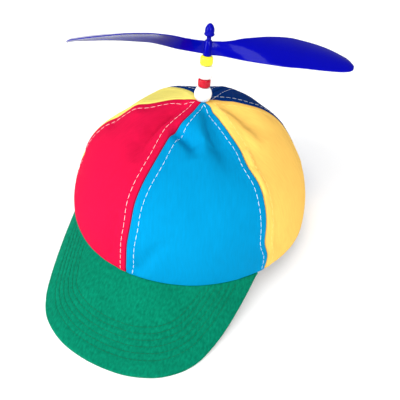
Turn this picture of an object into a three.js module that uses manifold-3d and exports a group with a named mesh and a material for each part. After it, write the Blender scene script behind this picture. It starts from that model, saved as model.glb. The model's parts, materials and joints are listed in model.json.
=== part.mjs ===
// A propeller beanie: six cloth panels and a stiff brim, with a propeller that turns on a beaded shaft.
// Millimetres, +Z up, the front of the cap towards -Y.
// The crown is drawn level, with its rim at height 0, and the whole cap is then leaned back to where it
// rests by itself, on the brim's front edge and on the back of the rim, which the floor flattens.
import * as THREE from 'three';
import { mergeVertices } from 'three/addons/utils/BufferGeometryUtils.js';
import Module from 'manifold-3d';

const wasm = await Module();
wasm.setup();

// Crown
const CROWN_WIDTH = 172.2; // outside, across the ears at the rim
const CROWN_LENGTH = 191.8; // outside, front to back at the rim
const CROWN_HEIGHT = 81; // from the rim to the top
const SHOULDER = 0.82; // below 1 the sides stay wide for longer as they rise
const ROUNDNESS = 1.07; // above 1 the sides rise a little later
const SWELL = 0.03; // share by which the sides swell past the rim
const TOP_RIGHT = -1.8; // how far the top lies off the middle of the rim
const TOP_BACK = -1;
const CLOTH = 1.6; // two layers of cotton twill and the seam tape
const REST_FLAT = 3; // how far the floor presses the back of the rim up

// Seams
const SEAM_ROLL = 1.4; // width of the rolled edge beside a seam
const SEAM_DIP = 0.6; // how far a panel's edge turns in at a seam
const FIT = 0.3; // gap between pieces that touch

// Brim
const BRIM_REACH = 45; // level run from the rim to the front edge
const BRIM_SLOPE = 0.8; // drop for each millimetre of run
const BRIM_THICK = 3;
const BRIM_TURN = 57; // degrees of rim that the brim covers to each side
const BRIM_NOSE = 1.2; // width of the rounded edge
const BRIM_TAPER = 0.28; // share of the thickness that the rounding takes off each side of the edge

// Shaft and knob
const ROD_DIAMETER = 3;
const TURNING_CLEARANCE = 0.3; // between the rod and what is threaded on it
const FOOT_DIAMETER = 12;
const FOOT_THICK = 1.5;
const NECK = 2.2; // bare rod between the hub and the knob
const KNOB_DIAMETER = 6.6;
const KNOB_HEIGHT = 8.1;

// Beads
const BALL_DIAMETER = 12;
const BALL_HEIGHT = 9.2;
const UPPER_BALL_DIAMETER = 11.6;
const UPPER_BALL_HEIGHT = 8.2;
const RING_DIAMETER = 8.6;
const RING_HEIGHT = 5.9;
const RING_ROUND = 1.6; // rounding of a ring bead's edges

// Propeller
const BLADE_RADIUS = 91.6;
const BLADE_CHORD = 27; // where a blade is widest
const BLADE_THICK = 1.3;
const BLADE_EDGE = 0.45; // thickness of a blade's edges, as a share of its middle's
const BLADE_CAMBER = 0.07; // rise of the blade's arch, as a share of its chord
const BLADE_DROOP = 8.4; // how far the bent blade's tip hangs below the other
const PROPELLER_TURN = 17.9; // degrees, where the photographed propeller stopped
const HUB_DIAMETER = 5.2;
const HUB_HEIGHT = 9.3;
const HUB_SHOULDER = 0.8; // height of the cone on top

// Fineness of the faceted surfaces
const PANEL_ROWS = 17;
const PANEL_COLUMNS = 14;
const BRIM_ROWS = 9;
const BRIM_COLUMNS = 40;
const BLADE_COLUMNS = 6;
const ROUND_SIDES = 16;
const BALL_STEPS = 8;
const CORNER_STEPS = 3;

const CLOTH_ROUGHNESS = 0.9;
const BEAD_ROUGHNESS = 0.3;
const PLASTIC_ROUGHNESS = 0.25;

const CYAN = '#0aa7ee';
const RED = '#f4143f';
const ORANGE_YELLOW = '#fbcf62';
const YELLOW = '#f5e27c';
const NAVY = '#0b2f6b';
const GREEN = '#0f9a6c';
const WHITE = '#f7f5f6';
const BEAD_RED = '#dd0b30';
const BEAD_YELLOW = '#f4ee2b';
const BLUE = '#1414b8';

// Seams in order round the crown, from the back over the left side. The sway, in degrees, is given at
// even steps from the rim to the top.
const SEAMS = [
  { azimuth: -180, sway: [0, 0.3, 0.4, 0.1, -0.4, -0.5, 0.1, 0.6, 0.4, 0, 0] },
  { azimuth: -120, sway: [0, 0.2, -0.3, -0.2, 0.4, 1, 1.3, 1.2, 0.8, -4.6, -10] },
  { azimuth: -60, sway: [1.2, 1.4, 0.4, -1.6, -3.7, -4.4, -4.5, -4.2, -1.8, -6.9, -18] },
  { azimuth: 0, sway: [-0.5, -0.1, -0.3, -0.2, -0.9, -0.9, -1, -1.7, -2, 3.3, 9] },
  { azimuth: 60, sway: [0.6, 1.1, -1.2, -0.6, -0.1, 0.2, -0.7, 1.2, 0.3, 0.7, 8] },
  { azimuth: 120, sway: [0, -0.2, 0.1, 0.3, 0.6, 1.2, 2.1, 3.5, 3.9, 9.9, 20] },
  { azimuth: 180, sway: [0, 0.3, 0.4, 0.1, -0.4, -0.5, 0.1, 0.6, 0.4, 0, 0] },
];

// Panel k lies between seam k and seam k + 1.
const PANELS = [
  { name: 'panel_back_left', colour: NAVY },
  { name: 'panel_side_left', colour: YELLOW },
  { name: 'panel_front_left', colour: RED },
  { name: 'panel_front_right', colour: CYAN },
  { name: 'panel_side_right', colour: ORANGE_YELLOW },
  { name: 'panel_back_right', colour: NAVY },
];

// How the cloth stands out from the even dome, at three heights, as shares of the crown's height.
// The rows are evenly spread round the crown.
const FORM = [
  { azimuth: -180, low: 0, middle: 0, high: 0.018 },
  { azimuth: -150, low: 0, middle: 0, high: -0.006 },
  { azimuth: -120, low: 0, middle: 0, high: 0 },
  { azimuth: -90, low: 0, middle: -0.033, high: -0.031 },
  { azimuth: -60, low: -0.004, middle: 0.016, high: 0 },
  { azimuth: -30, low: 0.028, middle: 0.005, high: -0.009 },
  { azimuth: 0, low: 0.007, middle: 0.012, high: -0.043 },
  { azimuth: 30, low: 0, middle: 0.007, high: -0.02 },
  { azimuth: 60, low: -0.004, middle: 0.023, high: -0.047 },
  { azimuth: 90, low: -0.012, middle: -0.007, high: -0.006 },
  { azimuth: 120, low: -0.025, middle: -0.026, high: 0.02 },
  { azimuth: 150, low: -0.005, middle: -0.01, high: 0.01 },
];
const FORM_RISE = { low: 0.15, middle: 0.42, high: 0.7 };
const FORM_SPREAD = 0.17;
const FLAT_TOP = { from: 0.93, to: 0.97 }; // no form or fold above, where the base bead sits

// Valleys in the cloth, each from one place to another. Rise goes from 0 at the rim to 1 at the top,
// width and depth are shares of the crown's height, and a ridge has a depth below 0.
const FOLDS = [
  { azimuth: -34, rise: 0.945, toAzimuth: -25.5, toRise: 0.865, width: 0.06, depth: 0.03 },
  { azimuth: -25.5, rise: 0.865, toAzimuth: -19.5, toRise: 0.75, width: 0.06, depth: 0.04 },
  { azimuth: -19.5, rise: 0.75, toAzimuth: -11, toRise: 0.56, width: 0.07, depth: 0.034 },
  { azimuth: 42, rise: 0.935, toAzimuth: 38, toRise: 0.86, width: 0.06, depth: 0.036 },
  { azimuth: 38, rise: 0.86, toAzimuth: 43, toRise: 0.725, width: 0.07, depth: 0.044 },
  { azimuth: 43, rise: 0.725, toAzimuth: 45, toRise: 0.61, width: 0.08, depth: 0.03 },
  { azimuth: 28, rise: 0.92, toAzimuth: 30, toRise: 0.72, width: 0.06, depth: -0.01 },
  { azimuth: 1.5, rise: 0.795, toAzimuth: 22, toRise: 0.713, width: 0.06, depth: 0.036 },
  { azimuth: 6, rise: 0.07, toAzimuth: 13, toRise: 0.22, width: 0.07, depth: 0.018 },
  { azimuth: 101, rise: 0.9, toAzimuth: 95, toRise: 0.85, width: 0.07, depth: 0.03 },
  { azimuth: 95, rise: 0.85, toAzimuth: 89, toRise: 0.78, width: 0.07, depth: 0.03 },
  { azimuth: 89, rise: 0.78, toAzimuth: 87, toRise: 0.67, width: 0.07, depth: 0.022 },
  { azimuth: 79, rise: 0.88, toAzimuth: 76, toRise: 0.68, width: 0.06, depth: -0.01 },
  { azimuth: 66, rise: 0.16, toAzimuth: 72, toRise: 0.08, width: 0.06, depth: 0.016 },
  { azimuth: -7, rise: 0.3, toAzimuth: -7, toRise: 0.1, width: 0.06, depth: 0.012 },
  { azimuth: -60, rise: 0.31, toAzimuth: -36, toRise: 0.3, width: 0.06, depth: 0.014 },
  { azimuth: -60, rise: 0.17, toAzimuth: -36, toRise: 0.15, width: 0.08, depth: -0.014 },
  { azimuth: -68, rise: 0.61, toAzimuth: -54, toRise: 0.6, width: 0.07, depth: 0.016 },
  { azimuth: -70, rise: 0.74, toAzimuth: -50, toRise: 0.73, width: 0.075, depth: -0.02 },
  { azimuth: -80, rise: 0.62, toAzimuth: -96, toRise: 0.56, width: 0.07, depth: 0.018 },
  { azimuth: 150, rise: 0.6, toAzimuth: 156, toRise: 0.35, width: 0.1, depth: 0.018 },
  { azimuth: -146, rise: 0.7, toAzimuth: -152, toRise: 0.4, width: 0.1, depth: 0.018 },
];

// Outline of the brim from left to right: across is a share of its half width, reach of its full reach.
const BRIM_OUTLINE = [
  { across: -0.985, reach: 0.04 },
  { across: -0.955, reach: 0.15 },
  { across: -0.886, reach: 0.44 },
  { across: -0.79, reach: 0.735 },
  { across: -0.7, reach: 0.9 },
  { across: -0.555, reach: 0.98 },
  { across: -0.3, reach: 0.99 },
  { across: 0, reach: 0.985 },
  { across: 0.3, reach: 1 },
  { across: 0.54, reach: 1.01 },
  { across: 0.706, reach: 0.99 },
  { across: 0.817, reach: 0.93 },
  { across: 0.886, reach: 0.8 },
  { across: 0.942, reach: 0.58 },
  { across: 0.98, reach: 0.26 },
  { across: 0.993, reach: 0.04 },
];

// Sections of a blade from the hub to the tip. Reach is a share of the blade's radius, and chord, ahead and
// lift are shares of its widest chord. Ahead and lift place the middle of the section.
const BLADE_SECTIONS = [
  { reach: 0.024, chord: 0.32, twist: 84, ahead: 0, lift: 0 },
  { reach: 0.066, chord: 0.32, twist: 78, ahead: 0.022, lift: 0.009 },
  { reach: 0.11, chord: 0.337, twist: 71, ahead: 0.033, lift: 0.017 },
  { reach: 0.164, chord: 0.404, twist: 59, ahead: 0.052, lift: 0.031 },
  { reach: 0.218, chord: 0.504, twist: 50, ahead: 0.07, lift: 0.052 },
  { reach: 0.306, chord: 0.663, twist: 38, ahead: 0.076, lift: 0.081 },
  { reach: 0.415, chord: 0.856, twist: 29, ahead: 0.1, lift: 0.109 },
  { reach: 0.546, chord: 1, twist: 24, ahead: 0.16, lift: 0.111 },
  { reach: 0.655, chord: 0.989, twist: 21, ahead: 0.185, lift: 0.1 },
  { reach: 0.764, chord: 0.93, twist: 19, ahead: 0.18, lift: 0.08 },
  { reach: 0.852, chord: 0.8, twist: 18, ahead: 0.15, lift: 0.057 },
  { reach: 0.917, chord: 0.65, twist: 17, ahead: 0.109, lift: 0.037 },
  { reach: 0.961, chord: 0.5, twist: 16, ahead: 0.085, lift: 0.025 },
  { reach: 0.989, chord: 0.3, twist: 15, ahead: 0.07, lift: 0.008 },
  { reach: 1, chord: 0.12, twist: 15, ahead: 0.067, lift: 0 },
];

// Outline of the knob above the neck: radius is a share of its half diameter, height of its height.
const KNOB_OUTLINE = [
  { radius: 0.72, height: 0.07 },
  { radius: 1, height: 0.16 },
  { radius: 1, height: 0.22 },
  { radius: 0.91, height: 0.27 },
  { radius: 0.93, height: 0.45 },
  { radius: 0.84, height: 0.65 },
  { radius: 0.6, height: 0.83 },
  { radius: 0.3, height: 0.95 },
];

const HALF_WIDTH = CROWN_WIDTH / 2;
const HALF_LENGTH = CROWN_LENGTH / 2;
const QUARTER_TURN = Math.PI / 2;
const MERIDIAN = QUARTER_TURN * Math.hypot(HALF_WIDTH, CROWN_HEIGHT) / Math.SQRT2; // cloth from rim to top
const BORE_RADIUS = ROD_DIAMETER / 2 + TURNING_CLEARANCE;
const { degToRad, radToDeg, lerp, smoothstep } = THREE.MathUtils;

// Helpers for solids

function toSolid(geometry) {
  const bare = new THREE.BufferGeometry();
  bare.setAttribute('position', geometry.attributes.position);
  bare.setIndex(geometry.index);
  const merged = mergeVertices(bare, 1e-4);
  const vertProperties = new Float32Array(merged.attributes.position.array);
  const triVerts = new Uint32Array(merged.index.array);
  return new wasm.Manifold(new wasm.Mesh({ numProp: 3, vertProperties, triVerts }));
}

function toGeometry(solid) {
  const mesh = solid.getMesh();
  const geometry = new THREE.BufferGeometry();
  geometry.setAttribute('position', new THREE.BufferAttribute(mesh.vertProperties, 3));
  geometry.setIndex(new THREE.BufferAttribute(mesh.triVerts, 1));
  geometry.computeVertexNormals();
  return geometry;
}

function namedMesh(name, geometry, colour, roughness) {
  const material = new THREE.MeshStandardMaterial({ color: colour, roughness, metalness: 0 });
  const mesh = new THREE.Mesh(geometry, material);
  mesh.name = name;
  return mesh;
}

// A closed sheet with a face and a back, from point(column, row, isBack). Seen on its face, columns
// run to the right and rows run up.
function sheetGeometry(columns, rows, point) {
  const positions = [];
  const index = [];
  for (const isBack of [false, true]) {
    for (let row = 0; row <= rows; row += 1) {
      for (let column = 0; column <= columns; column += 1) {
        positions.push(...point(column, row, isBack).toArray());
      }
    }
  }
  const backStart = (columns + 1) * (rows + 1);
  const at = (column, row, isBack) => row * (columns + 1) + column + (isBack ? backStart : 0);
  const quad = (a, b, c, d) => index.push(a, b, c, a, c, d);
  for (let row = 0; row < rows; row += 1) {
    for (let column = 0; column < columns; column += 1) {
      const corners = [[column, row], [column + 1, row], [column + 1, row + 1], [column, row + 1]];
      quad(...corners.map(([c, r]) => at(c, r, false)));
      quad(...corners.map(([c, r]) => at(c, r, true)).reverse());
    }
  }
  for (let column = 0; column < columns; column += 1) {
    const next = column + 1;
    quad(at(column, 0, true), at(next, 0, true), at(next, 0, false), at(column, 0, false));
    quad(at(column, rows, false), at(next, rows, false), at(next, rows, true), at(column, rows, true));
  }
  for (let row = 0; row < rows; row += 1) {
    const next = row + 1;
    quad(at(0, next, true), at(0, row, true), at(0, row, false), at(0, next, false));
    quad(at(columns, row, true), at(columns, next, true), at(columns, next, false), at(columns, row, false));
  }
  const geometry = new THREE.BufferGeometry();
  geometry.setAttribute('position', new THREE.Float32BufferAttribute(positions, 3));
  geometry.setIndex(index);
  geometry.computeVertexNormals();
  return geometry;
}

// A round piece about the Z axis, from its outline of [radius, height] pairs, going up on the outside.
function turnedGeometry(outline) {
  const points = outline.map(([radius, height]) => new THREE.Vector2(radius, height));
  return new THREE.LatheGeometry(points, ROUND_SIDES).rotateX(QUARTER_TURN);
}

// The crown's surface

function bell(value, centre, width) {
  return Math.exp(-(((value - centre) / width) ** 2));
}

function ringShare(rise) {
  const climb = rise * QUARTER_TURN;
  return Math.cos(climb) ** SHOULDER * (1 + SWELL * Math.sin(2 * climb));
}

function formAt(azimuth, rise) {
  const step = 360 / FORM.length;
  const place = (azimuth - FORM[0].azimuth) / step;
  const first = Math.floor(place);
  const row = FORM[(first + FORM.length) % FORM.length];
  const next = FORM[(first + 1 + FORM.length) % FORM.length];
  const blend = (1 - Math.cos(Math.PI * (place - first))) / 2;
  let stand = 0;
  for (const height of Object.keys(FORM_RISE)) {
    stand += lerp(row[height], next[height], blend) * bell(rise, FORM_RISE[height], FORM_SPREAD);
  }
  return stand;
}

function foldsAt(azimuth, rise) {
  let valley = 0;
  let ridge = 0;
  for (const fold of FOLDS) {
    const middle = (fold.azimuth + fold.toAzimuth) / 2;
    const flat = (angle, height) =>
      new THREE.Vector3(degToRad(angle - middle) * ringShare(height) * HALF_WIDTH, height * MERIDIAN, 0);
    const line = new THREE.Line3(flat(fold.azimuth, fold.rise), flat(fold.toAzimuth, fold.toRise));
    const here = flat(azimuth, rise);
    const nearest = line.closestPointToPoint(here, true, new THREE.Vector3());
    const depth = fold.depth * bell(here.distanceTo(nearest), 0, fold.width * CROWN_HEIGHT);
    valley = Math.max(valley, depth);
    ridge = Math.min(ridge, depth);
  }
  return valley + ridge;
}

// A point of the crown, at a depth below the outer face of the cloth.
function crownPoint(azimuth, rise, depth) {
  const climb = rise * QUARTER_TURN;
  const angle = degToRad(azimuth);
  const fade = 1 - smoothstep(rise, FLAT_TOP.from, FLAT_TOP.to);
  const out = CROWN_HEIGHT * fade * (formAt(azimuth, rise) - foldsAt(azimuth, rise)) - depth;
  const height = Math.sin(climb) ** ROUNDNESS;
  const level = out * Math.cos(climb);
  return new THREE.Vector3(
    (HALF_WIDTH * ringShare(rise) + level) * Math.sin(angle) + TOP_RIGHT * height,
    -(HALF_LENGTH * ringShare(rise) + level) * Math.cos(angle) + TOP_BACK * height,
    CROWN_HEIGHT * height + out * Math.sin(climb),
  );
}

function seamAzimuth(seam, rise) {
  const curve = new THREE.SplineCurve(seam.sway.map((degrees) => new THREE.Vector2(degrees, 0)));
  return seam.azimuth + curve.getPoint(rise).x;
}

// Places across a panel from 0 to its width: one close to each seam, the rest evenly spread.
function placeAcross(column, width) {
  const roll = Math.min(SEAM_ROLL, width / PANEL_COLUMNS);
  if (column === 0) return 0;
  if (column === PANEL_COLUMNS) return width;
  return lerp(roll, width - roll, (column - 1) / (PANEL_COLUMNS - 2));
}

function panelSolid(seam, nextSeam) {
  const topRise = Math.acos((BORE_RADIUS / HALF_WIDTH) ** (1 / SHOULDER)) / QUARTER_TURN;
  return toSolid(sheetGeometry(PANEL_COLUMNS, PANEL_ROWS, (column, row, isBack) => {
    const rise = row === PANEL_ROWS ? topRise : FLAT_TOP.to * row / (PANEL_ROWS - 1);
    const radius = HALF_WIDTH * ringShare(rise);
    const halfGap = radToDeg(Math.atan(FIT / 2 / radius));
    const from = seamAzimuth(seam, rise) + halfGap;
    const to = seamAzimuth(nextSeam, rise) - halfGap;
    const width = degToRad(to - from) * radius;
    const across = placeAcross(column, width);
    const isEdge = column === 0 || column === PANEL_COLUMNS;
    const dip = isEdge && !isBack ? SEAM_DIP : 0;
    return crownPoint(lerp(from, to, across / width), rise, isBack ? CLOTH : dip);
  }));
}

// The brim, whose top runs straight down and forward from the rim

const BRIM_HALF = HALF_WIDTH * Math.sin(degToRad(BRIM_TURN));
const BRIM_DOWN = new THREE.Vector3(0, BRIM_SLOPE, -1).normalize().multiplyScalar(BRIM_THICK);

function rimFront(x) {
  return -HALF_LENGTH * Math.sqrt(1 - (x / HALF_WIDTH) ** 2);
}

function brimTop(x, y) {
  return new THREE.Vector3(x, y, -FIT - BRIM_SLOPE * (rimFront(x) - y));
}

function brimGeometry() {
  const outline = new THREE.SplineCurve(BRIM_OUTLINE.map(({ across, reach }) => {
    const x = across * BRIM_HALF;
    return new THREE.Vector2(x, rimFront(x) - reach * BRIM_REACH);
  }));
  const outer = outline.getSpacedPoints(BRIM_COLUMNS);
  // Row 0 is the rounded edge, the last but one is the rim, and the last lies under the crown's cloth.
  const rimRow = BRIM_ROWS - 1;
  return sheetGeometry(BRIM_COLUMNS, BRIM_ROWS, (column, row, isBack) => {
    const angle = degToRad(lerp(-BRIM_TURN, BRIM_TURN, column / BRIM_COLUMNS));
    if (row > rimRow) {
      const seat = new THREE.Vector3(
        (HALF_WIDTH - CLOTH) * Math.sin(angle), -(HALF_LENGTH - CLOTH) * Math.cos(angle), -FIT,
      );
      return isBack ? seat.add(BRIM_DOWN) : seat;
    }
    const rim = new THREE.Vector2(HALF_WIDTH * Math.sin(angle), -HALF_LENGTH * Math.cos(angle));
    const length = rim.distanceTo(outer[column]);
    const nose = Math.min(BRIM_NOSE / length, 1 / rimRow);
    const share = row === 0 ? 0 : nose + (1 - nose) * ((row - 1) / (rimRow - 1));
    const place = outer[column].clone().lerp(rim, share);
    const point = brimTop(place.x, place.y);
    const faceDepth = row === 0 ? BRIM_TAPER : 0;
    return point.addScaledVector(BRIM_DOWN, isBack ? 1 - faceDepth : faceDepth);
  });
}

// Round pieces on the shaft, each with its underside at height 0

function ballOutline(diameter, height) {
  const end = Math.asin(height / diameter);
  const outline = [[BORE_RADIUS, 0]];
  for (let step = 0; step <= BALL_STEPS; step += 1) {
    const angle = lerp(-end, end, step / BALL_STEPS);
    outline.push([diameter / 2 * Math.cos(angle), height / 2 + diameter / 2 * Math.sin(angle)]);
  }
  outline.push([BORE_RADIUS, height], [BORE_RADIUS, 0]);
  return outline;
}

function ringOutline() {
  const centre = RING_DIAMETER / 2 - RING_ROUND;
  const outline = [[BORE_RADIUS, 0]];
  for (const [from, middle] of [[-QUARTER_TURN, RING_ROUND], [0, RING_HEIGHT - RING_ROUND]]) {
    for (let step = 0; step <= CORNER_STEPS; step += 1) {
      const angle = from + QUARTER_TURN * step / CORNER_STEPS;
      outline.push([centre + RING_ROUND * Math.cos(angle), middle + RING_ROUND * Math.sin(angle)]);
    }
  }
  outline.push([BORE_RADIUS, RING_HEIGHT], [BORE_RADIUS, 0]);
  return outline;
}

// From the hub's underside to the knob's tip, with the foot under the crown's cloth.
function shaftGeometry(hubTop) {
  const rod = ROD_DIAMETER / 2;
  const footTop = -CLOTH - FIT;
  const neckTop = hubTop + NECK;
  return turnedGeometry([
    [0, footTop - FOOT_THICK],
    [FOOT_DIAMETER / 2, footTop - FOOT_THICK],
    [FOOT_DIAMETER / 2, footTop],
    [rod, footTop],
    [rod, neckTop],
    ...KNOB_OUTLINE.map(({ radius, height }) => [radius * KNOB_DIAMETER / 2, neckTop + height * KNOB_HEIGHT]),
    [0, neckTop + KNOB_HEIGHT],
  ]);
}

// The propeller, about its own middle

function bladeSolid(droop) {
  const last = BLADE_SECTIONS.length - 1;
  return toSolid(sheetGeometry(BLADE_COLUMNS, last, (column, row, isBack) => {
    const { reach, chord, twist, ahead, lift } = BLADE_SECTIONS[row];
    const share = column / BLADE_COLUMNS;
    const slope = degToRad(twist);
    const along = (0.5 - share) * chord * BLADE_CHORD;
    const arch = Math.sin(Math.PI * share);
    const thick = BLADE_THICK * lerp(BLADE_EDGE, 1, arch);
    const normal = BLADE_CAMBER * chord * BLADE_CHORD * arch + (isBack ? -thick / 2 : thick / 2);
    return new THREE.Vector3(
      reach * BLADE_RADIUS,
      ahead * BLADE_CHORD + along * Math.cos(slope) - normal * Math.sin(slope),
      lift * BLADE_CHORD + along * Math.sin(slope) + normal * Math.cos(slope) - droop * reach ** 2,
    );
  }));
}

function propellerGeometry() {
  const half = HUB_HEIGHT / 2;
  const hub = toSolid(turnedGeometry([
    [0, -half],
    [HUB_DIAMETER / 2, -half],
    [HUB_DIAMETER / 2, half - HUB_SHOULDER],
    [(BORE_RADIUS + HUB_DIAMETER / 2) / 2, half],
    [0, half],
  ]));
  const bore = toSolid(turnedGeometry([
    [0, -HUB_HEIGHT], [BORE_RADIUS, -HUB_HEIGHT], [BORE_RADIUS, HUB_HEIGHT], [0, HUB_HEIGHT],
  ]));
  const blades = bladeSolid(0).add(bladeSolid(BLADE_DROOP).rotate([0, 0, 180]));
  return toGeometry(hub.add(blades).subtract(bore));
}

// The cap leans back until the brim's underside stands on the floor that flattens the back of the rim.
function restLean(brim) {
  const { position } = brim.attributes;
  let lean = 0;
  for (let i = 0; i < position.count; i += 1) {
    const run = HALF_LENGTH - position.getY(i);
    const drop = -position.getZ(i);
    lean = Math.max(lean, Math.atan2(drop, run) + Math.asin(REST_FLAT / Math.hypot(run, drop)));
  }
  return lean;
}

function buildPole() {
  const pole = new THREE.Group();
  pole.position.set(TOP_RIGHT, TOP_BACK, CROWN_HEIGHT);
  const beads = [
    {
      name: 'base_bead',
      colour: WHITE,
      height: BALL_HEIGHT,
      outline: ballOutline(BALL_DIAMETER, BALL_HEIGHT),
    },
    { name: 'red_ring_bead', colour: BEAD_RED, height: RING_HEIGHT, outline: ringOutline() },
    {
      name: 'white_bead',
      colour: WHITE,
      height: UPPER_BALL_HEIGHT,
      outline: ballOutline(UPPER_BALL_DIAMETER, UPPER_BALL_HEIGHT),
    },
    { name: 'yellow_ring_bead', colour: BEAD_YELLOW, height: RING_HEIGHT, outline: ringOutline() },
  ];
  let top = 0;
  for (const bead of beads) {
    const mesh = namedMesh(bead.name, turnedGeometry(bead.outline), bead.colour, BEAD_ROUGHNESS);
    mesh.position.z = top + FIT;
    pole.add(mesh);
    top += FIT + bead.height;
  }
  const propeller = namedMesh('propeller', propellerGeometry(), BLUE, PLASTIC_ROUGHNESS);
  propeller.position.z = top + FIT + HUB_HEIGHT / 2;
  propeller.rotation.z = degToRad(PROPELLER_TURN);
  const shaft = namedMesh('shaft', shaftGeometry(top + FIT + HUB_HEIGHT), BLUE, PLASTIC_ROUGHNESS);
  pole.add(propeller, shaft);
  return pole;
}

function buildBeanie() {
  const hat = new THREE.Group();
  const brim = brimGeometry();
  hat.rotation.x = -restLean(brim);
  hat.updateMatrix();

  // The floor, in the level crown's frame.
  const floorHeight = HALF_LENGTH * Math.sin(hat.rotation.x) + REST_FLAT;
  const floor = new THREE.BoxGeometry(4 * CROWN_LENGTH, 4 * CROWN_LENGTH, CROWN_HEIGHT);
  floor.translate(0, 0, floorHeight - CROWN_HEIGHT / 2).applyMatrix4(hat.matrix.clone().invert());
  const floorSolid = toSolid(floor);

  PANELS.forEach(({ name, colour }, k) => {
    const panel = panelSolid(SEAMS[k], SEAMS[k + 1]).subtract(floorSolid);
    hat.add(namedMesh(name, toGeometry(panel), colour, CLOTH_ROUGHNESS));
  });
  hat.add(namedMesh('brim', brim, GREEN, CLOTH_ROUGHNESS), buildPole());

  // The origin is on the floor, under the middle of the whole part.
  const beanie = new THREE.Group();
  beanie.add(hat);
  const bounds = new THREE.Box3().setFromObject(beanie, true);
  const middle = bounds.getCenter(new THREE.Vector3());
  hat.position.set(-middle.x, -middle.y, -floorHeight);
  return beanie;
}

export default buildBeanie();
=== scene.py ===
# Dresses the propeller beanie: cloth panels, stitching, brim, beads, propeller, and the studio round it.
import functools
import json
import math

import bmesh
import bpy
from mathutils import Matrix, Vector, kdtree, noise


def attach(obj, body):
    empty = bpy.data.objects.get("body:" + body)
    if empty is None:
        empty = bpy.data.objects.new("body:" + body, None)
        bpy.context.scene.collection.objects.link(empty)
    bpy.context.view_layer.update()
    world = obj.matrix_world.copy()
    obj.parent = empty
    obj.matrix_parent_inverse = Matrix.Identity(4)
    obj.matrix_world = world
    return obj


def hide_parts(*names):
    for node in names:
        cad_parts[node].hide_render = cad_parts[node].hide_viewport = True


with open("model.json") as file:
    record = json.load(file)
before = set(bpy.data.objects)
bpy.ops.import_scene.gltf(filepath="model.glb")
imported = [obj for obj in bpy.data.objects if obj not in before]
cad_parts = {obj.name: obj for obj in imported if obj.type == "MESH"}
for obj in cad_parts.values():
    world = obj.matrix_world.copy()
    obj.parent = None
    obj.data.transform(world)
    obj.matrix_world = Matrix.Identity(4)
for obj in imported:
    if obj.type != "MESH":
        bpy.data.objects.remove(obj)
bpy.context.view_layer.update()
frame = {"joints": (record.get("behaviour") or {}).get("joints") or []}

bl_info = {
    "name": "Propeller Beanie",
    "version": (1, 0, 0),
    "blender": (4, 5, 0),
    "location": "View3D > Sidebar > Beanie",
    "description": "Builds a cloth cap with a stiff brim and a propeller on a beaded shaft",
    "category": "Add Mesh",
}

QUARTER_TURN = math.pi / 2
MM = 0.001
SPIN_JOINT = frame["joints"][0]

# The distance to a seam, in metres, that is given to cloth with no seam to show: it keeps the painted seam
# shade off that cloth.
FAR_FROM_SEAMS = 1

# Seams in order round the crown, from the back over the left side: azimuth in degrees, and its sway at
# even steps from the rim to the top.
SEAMS = [
    (-180, (0, 0.3, 0.4, 0.1, -0.4, -0.5, 0.1, 0.6, 0.4, 0, 0)),
    (-120, (0, 0.2, -0.3, -0.2, 0.4, 1, 1.3, 1.2, 0.8, -4.6, -10)),
    (-60, (1.2, 1.4, 0.4, -1.6, -3.7, -4.4, -4.5, -4.2, -1.8, -6.9, -18)),
    (0, (-0.5, -0.1, -0.3, -0.2, -0.9, -0.9, -1, -1.7, -2, 3.3, 9)),
    (60, (0.6, 1.1, -1.2, -0.6, -0.1, 0.2, -0.7, 1.2, 0.3, 0.7, 8)),
    (120, (0, -0.2, 0.1, 0.3, 0.6, 1.2, 2.1, 3.5, 3.9, 9.9, 20)),
    (180, (0, 0.3, 0.4, 0.1, -0.4, -0.5, 0.1, 0.6, 0.4, 0, 0)),
]

# Panel k lies between seam k and seam k + 1: its place, the colour of its cloth, the colour of its thread,
# and how far its two rows of stitches lie from its seams, in millimetres, at even steps to the top.
PANELS = [
    ("back_left", "navy", "thread", (5, 5, 4.8, 5), (5, 5.2, 5, 5)),
    ("side_left", "yellow", "yellow_thread", (5, 5, 4.8, 5), (4.6, 4.8, 4.6, 5)),
    ("front_left", "red", "thread", (5, 6, 7, 6.6, 6, 5), (3.8, 3.9, 4.6, 4.9, 5.4, 4.6)),
    ("front_right", "cyan", "thread", (5, 5.5, 5.3, 6, 5.4, 2.8), (3, 3.9, 4.6, 3.9, 3.9, 3.4)),
    ("side_right", "orange_yellow", "yellow_thread", (4.6, 4.8, 4.6, 4.6), (5, 4.8, 5, 5)),
    ("back_right", "navy", "thread", (4.6, 5, 4.8, 4.6), (5, 5.2, 5, 5)),
]

# How the cloth stands out from the even dome, at three heights, every 30 degrees from the back.
FORM = [
    (0, 0, 0.018),
    (0, 0, -0.006),
    (0, 0, 0),
    (0, -0.033, -0.031),
    (-0.004, 0.016, 0),
    (0.028, 0.005, -0.009),
    (0.007, 0.012, -0.043),
    (0, 0.007, -0.02),
    (-0.004, 0.023, -0.047),
    (-0.012, -0.007, -0.006),
    (-0.025, -0.026, 0.02),
    (-0.005, -0.01, 0.01),
]
FORM_RISES = (0.15, 0.42, 0.7)
FORM_SPREAD = 0.17
FLAT_TOP = (0.93, 0.97)

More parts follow.
